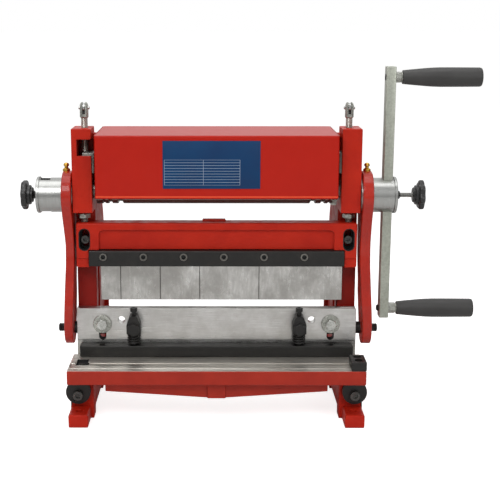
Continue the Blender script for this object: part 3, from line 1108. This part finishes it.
def gear_outline():
    """Spur gear with involute flanks, one tooth centred on the upward axis."""
    pitch = ROLL_CENTRES * CENTRE_SHARE
    module = ROLL_CENTRES / GEAR_TEETH
    base = pitch * math.cos(GEAR_PRESSURE_ANGLE)
    tip = pitch + GEAR_ADDENDUM_SHARE * module
    root = pitch - GEAR_DEDENDUM_SHARE * module
    half_tooth = math.pi / (2 * GEAR_TEETH) - GEAR_BACKLASH / (4 * pitch)
    spread = math.tan(GEAR_PRESSURE_ANGLE) - GEAR_PRESSURE_ANGLE
    flank = []
    for step in range(GEAR_FLANK_POINTS):
        radius = base + (tip - base) * step / (GEAR_FLANK_POINTS - 1)
        roll = math.acos(min(1.0, base / radius))
        flank.append((radius, half_tooth + spread - (math.tan(roll) - roll)))
    half = [(root, flank[0][1])] + flank
    points = []
    for tooth in range(GEAR_TEETH):
        centre = math.pi / 2 + 2 * math.pi * tooth / GEAR_TEETH
        for radius, angle in half:
            points.append((radius * math.cos(centre - angle), radius * math.sin(centre - angle)))
        for radius, angle in reversed(half):
            points.append((radius * math.cos(centre + angle), radius * math.sin(centre + angle)))
    return points


def gear(name, height, bore):
    """Spur gear beside the right end of a roll."""
    outline = [(across + AXIS_Y, up + height) for across, up in gear_outline()]
    made = flat(name, outline, GEAR_X, GEAR_X + GEAR_WIDTH, TO_X)
    cut(made, rod(f"{name}_bore", (GEAR_X - OVERRUN, AXIS_Y, height),
                  (GEAR_X + GEAR_WIDTH + OVERRUN, AXIS_Y, height), TO_X, bore + GAP, ROUND_STEPS))
    paint(made, "ground_steel")
    return made


def upper_rolls():
    """Upper roll with its gear in two sliding bearing blocks under the adjusting screws."""
    profile = roll_profile(ROLL_RADIUS, False, -JOURNAL_END_X, JOURNAL_END_X, JOURNAL_RADIUS, JOURNAL_RADIUS)
    roll = turned("upper_roll", profile, (0.0, AXIS_Y, UPPER_ROLL_Z), TO_X, BIG_ROUND_STEPS)
    paint(roll, "ground_steel")
    pinion = gear("upper_gear", UPPER_ROLL_Z, JOURNAL_RADIUS)
    hang([roll, pinion], axis_empty("upper_roll_axis", (0.0, AXIS_Y, UPPER_ROLL_Z)))
    blocks = []
    half_depth = BLOCK_DEPTH * CENTRE_SHARE
    half_height = BLOCK_HEIGHT * CENTRE_SHARE
    for word, side in SIDES:
        low, high = mirror_span(side, BLOCK_INNER_X, POCKET_OUTER_X - GAP)
        block = box(f"bearing_block_{word}", (low, AXIS_Y - half_depth, UPPER_ROLL_Z - half_height),
                    (high, AXIS_Y + half_depth, UPPER_ROLL_Z + half_height))
        start, end = mirror_span(side, BLOCK_INNER_X - OVERRUN, JOURNAL_END_X + GAP)
        cut(block, rod(f"journal_bore_{word}", (start, AXIS_Y, UPPER_ROLL_Z), (end, AXIS_Y, UPPER_ROLL_Z),
                       TO_X, JOURNAL_RADIUS + GAP, ROUND_STEPS))
        paint(block, "ground_steel")
        blocks.append(block)
    hang(blocks, axis_empty("upper_roll_slide", (0.0, AXIS_Y, UPPER_ROLL_Z)))


def adjusting_screw(word, side):
    """Screw down on the bearing block, with a clevis head and its cross pin on top."""
    foot_z = UPPER_ROLL_Z + BLOCK_HEIGHT * CENTRE_SHARE + GAP
    place = (side * SCREW_X, AXIS_Y, foot_z)
    screw = rod(f"adjusting_screw_{word}", place, (side * SCREW_X, AXIS_Y, CLEVIS_BOTTOM_Z - GAP), TO_Z,
                SCREW_RADIUS, SMALL_ROUND_STEPS)
    paint(screw, "zinc_plate")
    half = CLEVIS_WIDTH * CENTRE_SHARE
    slot = CLEVIS_SLOT_WIDTH * CENTRE_SHARE
    head = rod(f"clevis_{word}", (side * SCREW_X, AXIS_Y, CLEVIS_BOTTOM_Z), (side * SCREW_X, AXIS_Y, CLEVIS_TOP_Z),
               TO_Z, half, ROUND_STEPS)
    soften(head, BED_EDGE_RADIUS)
    cut(head, box(f"clevis_slot_{word}", (side * SCREW_X - slot, AXIS_Y - CLEVIS_WIDTH, CLEVIS_SLOT_BOTTOM_Z),
                  (side * SCREW_X + slot, AXIS_Y + CLEVIS_WIDTH, CLEVIS_TOP_Z + OVERRUN)))
    pin = CLEVIS_PIN_LENGTH * CENTRE_SHARE
    join(head, rod(f"clevis_pin_{word}", (side * SCREW_X - pin, AXIS_Y, CLEVIS_PIN_Z),
                   (side * SCREW_X + pin, AXIS_Y, CLEVIS_PIN_Z), TO_X, CLEVIS_PIN_RADIUS, SMALL_ROUND_STEPS))
    paint(head, "bright_steel")
    hang([screw, head], axis_empty(f"adjusting_axis_{word}", place))


def rear_roll():
    """Bending roll behind the pinch rolls, in two eyebolts that nuts draw up."""
    profile = roll_profile(ROLL_RADIUS, False, -EYE_JOURNAL_END_X, EYE_JOURNAL_END_X, JOURNAL_RADIUS, JOURNAL_RADIUS)
    roll = turned("rear_roll", profile, (0.0, REAR_ROLL_Y, REAR_ROLL_Z), TO_X, BIG_ROUND_STEPS)
    paint(roll, "ground_steel")
    hang([roll], axis_empty("rear_roll_axis", (0.0, REAR_ROLL_Y, REAR_ROLL_Z)))
    eyes = []
    for word, side in SIDES:
        low, high = mirror_span(side, EYE_INNER_X, EYE_INNER_X + EYE_THICKNESS)
        middle = (low + high) * CENTRE_SHARE
        eye = rod(f"rear_eyebolt_{word}", (low, REAR_ROLL_Y, REAR_ROLL_Z), (high, REAR_ROLL_Y, REAR_ROLL_Z), TO_X,
                  EYE_RADIUS, ROUND_STEPS)
        join(eye, rod(f"eye_shank_{word}", (middle, REAR_ROLL_Y, REAR_ROLL_Z + JOURNAL_RADIUS + OVERRUN),
                      (middle, REAR_ROLL_Y, EYE_SHANK_TOP_Z), TO_Z, EYE_SHANK_RADIUS, SMALL_ROUND_STEPS))
        join(eye, rod(f"eye_nut_{word}", (middle, REAR_ROLL_Y, HEAD_TOP_Z + GAP),
                      (middle, REAR_ROLL_Y, HEAD_TOP_Z + GAP + EYE_NUT_HEIGHT), TO_Z, EYE_NUT_RADIUS, HEX_SIDES))
        cut(eye, rod(f"eye_hole_{word}", (low - OVERRUN, REAR_ROLL_Y, REAR_ROLL_Z),
                     (high + OVERRUN, REAR_ROLL_Y, REAR_ROLL_Z), TO_X, JOURNAL_RADIUS + GAP, ROUND_STEPS))
        paint(eye, "zinc_plate")
        eyes.append(eye)
    hang(eyes, axis_empty("rear_roll_slide", (0.0, REAR_ROLL_Y, REAR_ROLL_Z)))


def eccentric_hub(word, side):
    """Turned hub whose centre lies below the drive shaft, slotted across for the crank bar."""
    profile = [(0.0, HUB_OUTER_X), (HUB_FLANGE_RADIUS, HUB_OUTER_X), (HUB_FLANGE_RADIUS, HUB_OUTER_X - HUB_FLANGE_WIDTH),
               (HUB_RADIUS, HUB_OUTER_X - HUB_FLANGE_WIDTH), (HUB_RADIUS, HUB_INNER_X), (0.0, HUB_INNER_X)]
    if side < 0:
        profile = [(radius, -along) for radius, along in reversed(profile)]
    hub = turned(f"eccentric_hub_{word}", profile, (0.0, AXIS_Y, HUB_Z), TO_X, BIG_ROUND_STEPS)
    start, end = mirror_span(side, HUB_INNER_X - OVERRUN, SHAFT_END_X + GAP)
    cut(hub, rod(f"shaft_bore_{word}", (start, AXIS_Y, DRIVE_Z), (end, AXIS_Y, DRIVE_Z), TO_X,
                 SHAFT_RADIUS + GAP, ROUND_STEPS))
    low, high = mirror_span(side, CRANK_INNER_X - GAP, CRANK_INNER_X + CRANK_THICKNESS + GAP)
    half = CRANK_DEPTH * CENTRE_SHARE + GAP
    cut(hub, box(f"crank_slot_{word}", (low, AXIS_Y - half, HUB_Z - HUB_RADIUS - OVERRUN),
                 (high, AXIS_Y + half, HUB_Z + HUB_RADIUS + OVERRUN)))
    start, end = mirror_span(side, CRANK_INNER_X + CRANK_THICKNESS, HUB_OUTER_X + OVERRUN)
    cut(hub, rod(f"knob_bore_{word}", (start, AXIS_Y, HUB_Z), (end, AXIS_Y, HUB_Z), TO_X,
                 KNOB_ROD_RADIUS + GAP, SMALL_ROUND_STEPS))
    paint(hub, "bright_steel")
    return hub


def crank():
    """Flat bar through the right hub, with a shouldered spindle for a grip near each end."""
    bar = box("crank_bar", (CRANK_INNER_X, AXIS_Y - CRANK_DEPTH * CENTRE_SHARE, HUB_Z - CRANK_HALF_LENGTH),
              (CRANK_INNER_X + CRANK_THICKNESS, AXIS_Y + CRANK_DEPTH * CENTRE_SHARE, HUB_Z + CRANK_HALF_LENGTH))
    soften(bar, CRANK_EDGE_RADIUS)
    pieces = [bar]
    outer = CRANK_INNER_X + CRANK_THICKNESS
    for word, side in (("upper", 1), ("lower", -1)):
        height = HUB_Z + side * GRIP_OFFSET
        cut(bar, rod(f"spindle_hole_{word}", (CRANK_INNER_X - OVERRUN, AXIS_Y, height),
                     (outer + OVERRUN, AXIS_Y, height), TO_X, SPINDLE_RADIUS * CENTRE_SHARE + GAP, SMALL_ROUND_STEPS))
        tip = GRIP_START_X + GRIP_BORE_DEPTH - GAP
        profile = [(0.0, tip), (SPINDLE_RADIUS, tip), (SPINDLE_RADIUS, GRIP_START_X - GAP),
                   (SPINDLE_COLLAR_RADIUS, GRIP_START_X - GAP), (SPINDLE_COLLAR_RADIUS, outer + GAP),
                   (SPINDLE_RADIUS * CENTRE_SHARE, outer + GAP), (SPINDLE_RADIUS * CENTRE_SHARE, CRANK_INNER_X - GAP),
                   (SPINDLE_HEAD_RADIUS, CRANK_INNER_X - GAP),
                   (SPINDLE_HEAD_RADIUS, CRANK_INNER_X - GAP - SPINDLE_HEAD_HEIGHT),
                   (0.0, CRANK_INNER_X - GAP - SPINDLE_HEAD_HEIGHT)]
        spindle = turned(f"grip_spindle_{word}", profile, (0.0, AXIS_Y, height), TO_X, SMALL_ROUND_STEPS)
        paint(spindle, "bright_steel")
        pieces.append(spindle)
        grip_outline = [(SPINDLE_RADIUS + GAP, GRIP_START_X + GRIP_BORE_DEPTH), (0.0, GRIP_START_X + GRIP_BORE_DEPTH)]
        shell = [(0.0, GRIP_END_X), (GRIP_RADIUS - GRIP_END_RADIUS, GRIP_END_X)]
        for step in range(1, CORNER_STEPS + 1):
            angle = math.pi * step / (2 * CORNER_STEPS)
            shell.append((GRIP_RADIUS - GRIP_END_RADIUS * (1 - math.sin(angle)),
                          GRIP_END_X - GRIP_END_RADIUS * (1 - math.cos(angle))))
        shell.append((GRIP_RADIUS, GRIP_SHOULDER_X))
        for step in range(1, CORNER_STEPS + 1):
            share = step / CORNER_STEPS
            ease = share * share * (3 - 2 * share)
            shell.append((GRIP_RADIUS + (GRIP_ROOT_RADIUS - GRIP_RADIUS) * ease,
                          GRIP_SHOULDER_X + (GRIP_START_X - GRIP_SHOULDER_X) * share))
        shell.append((SPINDLE_RADIUS + GAP, GRIP_START_X))
        grip = turned(f"crank_grip_{word}", shell + grip_outline, (0.0, AXIS_Y, height), TO_X, ROUND_STEPS)
        hang([grip], axis_empty(f"grip_axis_{word}", (GRIP_START_X, AXIS_Y, height)))
        paint(grip, "black_plastic")
    paint(bar, "zinc_plate")
    return pieces


def knob(word, side, inner_x):
    """Lobed hand knob and the threaded rod in it that clamps the crank bar in its hub."""
    points = []
    for step in range(KNOB_STEPS):
        angle = 2 * math.pi * step / KNOB_STEPS
        radius = KNOB_RADIUS - KNOB_LOBE_DEPTH * (1 + math.cos(KNOB_LOBES * angle)) * CENTRE_SHARE
        points.append((AXIS_Y + radius * math.cos(angle), HUB_Z + radius * math.sin(angle)))
    face_x = inner_x + KNOB_BOSS_WIDTH
    low, high = mirror_span(side, face_x - KNOB_EDGE, face_x + KNOB_WIDTH)
    made = flat(f"clamp_knob_{word}", points, low, high, TO_X)
    low, high = mirror_span(side, inner_x, face_x)
    join(made, rod(f"knob_boss_{word}", (low, AXIS_Y, HUB_Z), (high, AXIS_Y, HUB_Z), TO_X,
                   KNOB_BOSS_RADIUS, ROUND_STEPS))
    low, high = mirror_span(side, inner_x - OVERRUN, inner_x + KNOB_SOCKET_DEPTH)
    cut(made, rod(f"knob_socket_{word}", (low, AXIS_Y, HUB_Z), (high, AXIS_Y, HUB_Z), TO_X,
                  KNOB_ROD_RADIUS + GAP, SMALL_ROUND_STEPS))
    paint(made, "black_plastic")
    low, high = mirror_span(side, CRANK_INNER_X + CRANK_THICKNESS + GAP, inner_x + KNOB_SOCKET_DEPTH - GAP)
    shaft = rod(f"knob_rod_{word}", (low, AXIS_Y, HUB_Z), (high, AXIS_Y, HUB_Z), TO_X,
                KNOB_ROD_RADIUS, SMALL_ROUND_STEPS)
    if side > 0:
        join(shaft, rod("knob_lock_nut", (HUB_OUTER_X + GAP, AXIS_Y, HUB_Z),
                        (HUB_OUTER_X + GAP + KNOB_NUT_WIDTH, AXIS_Y, HUB_Z), TO_X, KNOB_NUT_RADIUS, HEX_SIDES))
    paint(shaft, "black_oxide")
    hang([made, shaft], axis_empty(f"knob_axis_{word}", (side * HUB_OUTER_X, AXIS_Y, HUB_Z)))


def arm_outline():
    """Side view of an arm: a ring on the hub, a broad curved strap and a boss on the ram's pin."""
    front = [(AXIS_Y - ARM_STRAP_TOP_RADIUS, HUB_Z), (ARM_WAIST_FRONT_Y, ARM_WAIST_Z),
             (ARM_BELLY_FRONT_Y, ARM_BELLY_Z), (RAM_MIDDLE_Y - ARM_STRAP_FOOT_RADIUS, RAM_PIN_Z)]
    back = [(RAM_MIDDLE_Y + ARM_STRAP_FOOT_RADIUS, RAM_PIN_Z), (ARM_BELLY_BACK_Y, ARM_BELLY_Z),
            (ARM_WAIST_BACK_Y, ARM_WAIST_Z), (AXIS_Y + ARM_STRAP_TOP_RADIUS, HUB_Z)]
    points = []
    half = ROUND_STEPS // 2
    for step in range(half + 1):
        angle = math.pi * step / half
        points.append((AXIS_Y + ARM_STRAP_TOP_RADIUS * math.cos(angle), HUB_Z + ARM_STRAP_TOP_RADIUS * math.sin(angle)))
    points += smooth_run(front)[1:-1]
    for step in range(half + 1):
        angle = math.pi + math.pi * step / half
        points.append((RAM_MIDDLE_Y + ARM_STRAP_FOOT_RADIUS * math.cos(angle), RAM_PIN_Z + ARM_STRAP_FOOT_RADIUS * math.sin(angle)))
    points += smooth_run(back)[1:-1]
    return points


def smooth_run(stations):
    """Points on a smooth curve through stations whose ends run straight up and down."""
    run = []
    last = len(stations) - 1
    for index in range(last):
        start, end = Vector(stations[index]), Vector(stations[index + 1])
        reach = abs(end.y - start.y)
        down = 1 if end.y > start.y else -1
        tangents = []
        for place in (index, index + 1):
            if 0 < place < last:
                slope = Vector(stations[place + 1]) - Vector(stations[place - 1])
                tangents.append(slope * (reach / abs(slope.y)))
            else:
                tangents.append(Vector((0.0, down * reach)))
        for step in range(ARM_BLEND_STEPS):
            t = step / ARM_BLEND_STEPS
            run.append(tuple(start * (2 * t ** 3 - 3 * t ** 2 + 1) + tangents[0] * (t ** 3 - 2 * t ** 2 + t)
                             + end * (3 * t ** 2 - 2 * t ** 3) + tangents[1] * (t ** 3 - t ** 2)))
    run.append(tuple(stations[last]))
    return run


def arm(word, side):
    """Cast arm whose ring runs on the eccentric and whose foot turns on the ram's pin."""
    low, high = mirror_span(side, ARM_INNER_X, ARM_INNER_X + ARM_STRAP_WIDTH)
    made = flat(f"arm_{word}", arm_outline(), low, high, TO_X)
    low, high = mirror_span(side, ARM_INNER_X, ARM_INNER_X + ARM_RING_WIDTH)
    join(made, rod(f"arm_ring_{word}", (low, AXIS_Y, HUB_Z), (high, AXIS_Y, HUB_Z), TO_X,
                   ARM_RING_RADIUS, BIG_ROUND_STEPS))
    start, end = mirror_span(side, ARM_INNER_X, ARM_INNER_X + ARM_BOSS_WIDTH)
    join(made, rod(f"arm_boss_{word}", (start, RAM_MIDDLE_Y, RAM_PIN_Z), (end, RAM_MIDDLE_Y, RAM_PIN_Z), TO_X,
                   ARM_BOSS_RADIUS, ROUND_STEPS))
    cut(made, rod(f"ring_bore_{word}", (low - OVERRUN, AXIS_Y, HUB_Z), (high + OVERRUN, AXIS_Y, HUB_Z), TO_X,
                  HUB_RADIUS + GAP, BIG_ROUND_STEPS))
    cut(made, rod(f"boss_bore_{word}", (start - OVERRUN, RAM_MIDDLE_Y, RAM_PIN_Z),
                  (end + OVERRUN, RAM_MIDDLE_Y, RAM_PIN_Z), TO_X, ARM_PIN_RADIUS + GAP, ROUND_STEPS))
    paint(made, "red_paint")
    outer = ARM_INNER_X + ARM_BOSS_WIDTH + GAP
    tip = outer + ARM_WASHER_THICKNESS + ARM_PIN_HEAD_HEIGHT
    profile = [(0.0, tip), (ARM_PIN_HEAD_RADIUS, tip), (ARM_PIN_HEAD_RADIUS, outer + ARM_WASHER_THICKNESS),
               (ARM_WASHER_RADIUS, outer + ARM_WASHER_THICKNESS), (ARM_WASHER_RADIUS, outer),
               (ARM_PIN_RADIUS, outer), (ARM_PIN_RADIUS, ARM_INNER_X - GAP),
               (ARM_COLLAR_RADIUS, ARM_INNER_X - GAP), (ARM_COLLAR_RADIUS, RAM_HALF_WIDTH + GAP),
               (0.0, RAM_HALF_WIDTH + GAP)]
    if side < 0:
        profile = [(radius, -along) for radius, along in reversed(profile)]
    pin = turned(f"arm_pin_{word}", profile, (0.0, RAM_MIDDLE_Y, RAM_PIN_Z), TO_X, ROUND_STEPS)
    paint(pin, "black_oxide")
    hang([made, pin], axis_empty(f"arm_axis_{word}", (side * ARM_INNER_X, AXIS_Y, HUB_Z)))


def drive():
    """Lower roll on the through shaft, its gear, both hubs and the crank."""
    profile = roll_profile(ROLL_RADIUS, True, -SHAFT_END_X, SHAFT_END_X, SHAFT_RADIUS, SHAFT_RADIUS)
    roll = turned("lower_roll", profile, (0.0, AXIS_Y, DRIVE_Z), TO_X, BIG_ROUND_STEPS)
    paint(roll, "ground_steel")
    pieces = [roll, gear("drive_gear", DRIVE_Z, SHAFT_RADIUS)]
    for word, side in SIDES:
        pieces.append(eccentric_hub(word, side))
    pieces += crank()
    hang(pieces, axis_empty("drive_axis", (0.0, AXIS_Y, DRIVE_Z)))


def centre_machine():
    """Hang the whole machine on one empty, so that the origin lies under the middle of its box."""
    loose = [item for group in (MACHINE, CUTTERS) for item in group.objects if item.parent is None]
    root = axis_empty("machine", (-MIDDLE_X, -MIDDLE_Y, 0.0))
    for item in loose:
        item.parent = root


def build():
    """Make every piece of the machine."""
    bed()
    side_guide()
    ram_pieces = ram()
    bar_pieces = [hold_down_bar()]
    for word, side in SIDES:
        side_frame(word, side)
        cam(word, side)
        ram_bolt(word, side)
        ram_pieces += press_bracket(word, side)
        bar_pieces.append(spring(word, side))
        beam_screw(word, side)
        jack_stud(word, side)
        adjusting_screw(word, side)
        arm(word, side)
    hang(ram_pieces, axis_empty("ram_slide", (0.0, RAM_MIDDLE_Y, RAM_PIN_Z)))
    hang(bar_pieces, axis_empty("hold_down_slide", (0.0, PRESS_Y, BAR_TOP_Z)))
    beam_pieces = [upper_beam(), clamp_bar()] + finger_dies()
    hang(beam_pieces, axis_empty("beam_slide", (0.0, BEAM_BACK_Y, BEAM_TOP_Z)))
    upper_rolls()
    rear_roll()
    drive()
    knob("left", -1, LEFT_KNOB_X)
    knob("right", 1, RIGHT_KNOB_X)
    cover()
    centre_machine()


clear_scene()
MACHINE = new_collection("combination_sheet_metal_machine")
CUTTERS = new_collection("cutters")
build()
